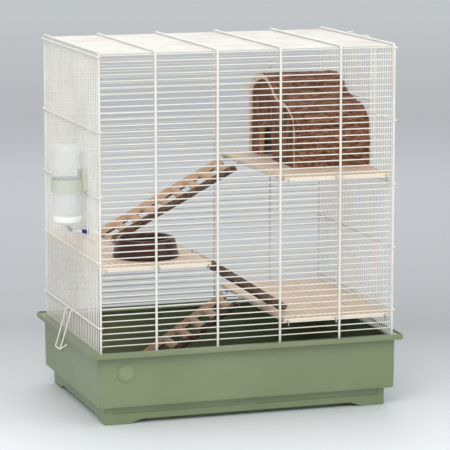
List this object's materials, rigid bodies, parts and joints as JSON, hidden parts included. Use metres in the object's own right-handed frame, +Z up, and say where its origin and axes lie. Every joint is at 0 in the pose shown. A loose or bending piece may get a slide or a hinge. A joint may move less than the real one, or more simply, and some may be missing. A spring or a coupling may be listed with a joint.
{
  "type": "hamster cage",
  "caption": "Three-storey wire hamster cage on a deep plastic tray, with wooden shelves, bark ladders, a bark house, a food bowl and a clip-on water bottle.",
  "frame": {"origin": "on the floor, below the middle of the tray", "axes": "+X to the right, +Y to the back, +Z up"},
  "size_m": [0.5491, 0.357, 0.5683],
  "materials": {
    "tray": "sage green moulded plastic, satin",
    "badge": "plain raised disc, no mark",
    "coated_wire": "ivory white powder coat",
    "clip_wire": "ivory white coated spring wire",
    "zinc_wire": "zinc-plated wire",
    "shelf_wood": "plain sanded softwood board",
    "bark_rail": "split branch with its bark on",
    "peeled_rung": "peeled round sticks",
    "bark": "rough reddish-brown bark with a pale cut edge",
    "house_board": "rough bark-faced board",
    "stoneware": "dark brown glazed stoneware",
    "clear_bottle": "clear plastic",
    "white_cap": "white moulded plastic",
    "tube_steel": "stainless steel",
    "blue_nozzle": "clear tube end with a blue collar",
    "cream_band": "milky moulded plastic"
  },
  "bodies": {
    "tray": {"tray": "tray", "badge": "badge"},
    "wire_top": {"bent_bars": "coated_wire", "front_wires": "coated_wire", "back_wires": "coated_wire", "roof_wires": "coated_wire", "left_cross_bars": "coated_wire", "left_panel_wires": "coated_wire", "spout_bar": "coated_wire", "right_cross_bars": "coated_wire", "right_panel_wires": "coated_wire", "door_stiles": "coated_wire", "door_sill": "coated_wire", "upper_shelf": "shelf_wood", "left_shelf": "shelf_wood", "lower_shelf": "shelf_wood", "shelf_hooks": "zinc_wire", "ladder_staples": "zinc_wire", "bottle_holder": "cream_band"},
    "left_clip": {"left_clip": "clip_wire"},
    "right_clip": {"right_clip": "clip_wire"},
    "side_door": {"door_frame": "coated_wire", "door_wires": "coated_wire", "door_hangers": "coated_wire"},
    "upper_ladder": {"upper_rails": "bark_rail", "upper_rungs": "peeled_rung", "upper_ladder_hooks": "zinc_wire"},
    "middle_ladder": {"middle_rails": "bark_rail", "middle_rungs": "peeled_rung", "middle_ladder_hooks": "zinc_wire"},
    "lower_ladder": {"lower_rails": "bark_rail", "lower_rungs": "peeled_rung", "lower_ladder_hooks": "zinc_wire"},
    "bark_house": {"bark_cover": "bark", "house_front_board": "house_board", "house_back_board": "house_board"},
    "bowl": {"bowl": "stoneware"},
    "bottle": {"bottle": "clear_bottle", "bottle_cap": "white_cap", "drinking_tube": "tube_steel", "nozzle": "blue_nozzle", "nozzle_ball": "tube_steel"}
  },
  "joints": [
    {"name": "wire_top_lift", "type": "slide", "parent": "tray", "child": "wire_top", "axis": [0, 0, 1], "range_m": [0, 0.15]},
    {"name": "left_clip_turn", "type": "hinge", "parent": "wire_top", "child": "left_clip", "pos_m": [-0.23735, 0, 0.152], "axis": [0, 1, 0], "range_deg": [0, 90]},
    {"name": "right_clip_turn", "type": "hinge", "parent": "wire_top", "child": "right_clip", "pos_m": [0.23735, 0, 0.152], "axis": [0, -1, 0], "range_deg": [0, 90]},
    {"name": "side_door_swing", "type": "hinge", "parent": "wire_top", "child": "side_door", "pos_m": [0.234, 0, 0.5642], "axis": [0, -1, 0], "range_deg": [0, 95]},
    {"name": "upper_ladder_swing", "type": "hinge", "parent": "wire_top", "child": "upper_ladder", "pos_m": [0.0525, 0.08, 0.3624], "axis": [0, 1, 0], "range_deg": [0, 40]},
    {"name": "middle_ladder_swing", "type": "hinge", "parent": "wire_top", "child": "middle_ladder", "pos_m": [-0.0525, -0.075, 0.2389], "axis": [0, -1, 0], "range_deg": [0, 40]},
    {"name": "lower_ladder_swing", "type": "hinge", "parent": "wire_top", "child": "lower_ladder", "pos_m": [0.0525, 0.07, 0.1439], "axis": [0, 1, 0], "range_deg": [0, 40]},
    {"name": "bark_house_lift", "type": "slide", "parent": "wire_top", "child": "bark_house", "axis": [0, 0, 1], "range_m": [0, 0.055]},
    {"name": "bowl_lift", "type": "slide", "parent": "wire_top", "child": "bowl", "axis": [0, 0, 1], "range_m": [0, 0.09]},
    {"name": "bottle_lift", "type": "slide", "parent": "wire_top", "child": "bottle", "axis": [0, 0, 1], "range_m": [0, 0.05]}
  ]
}
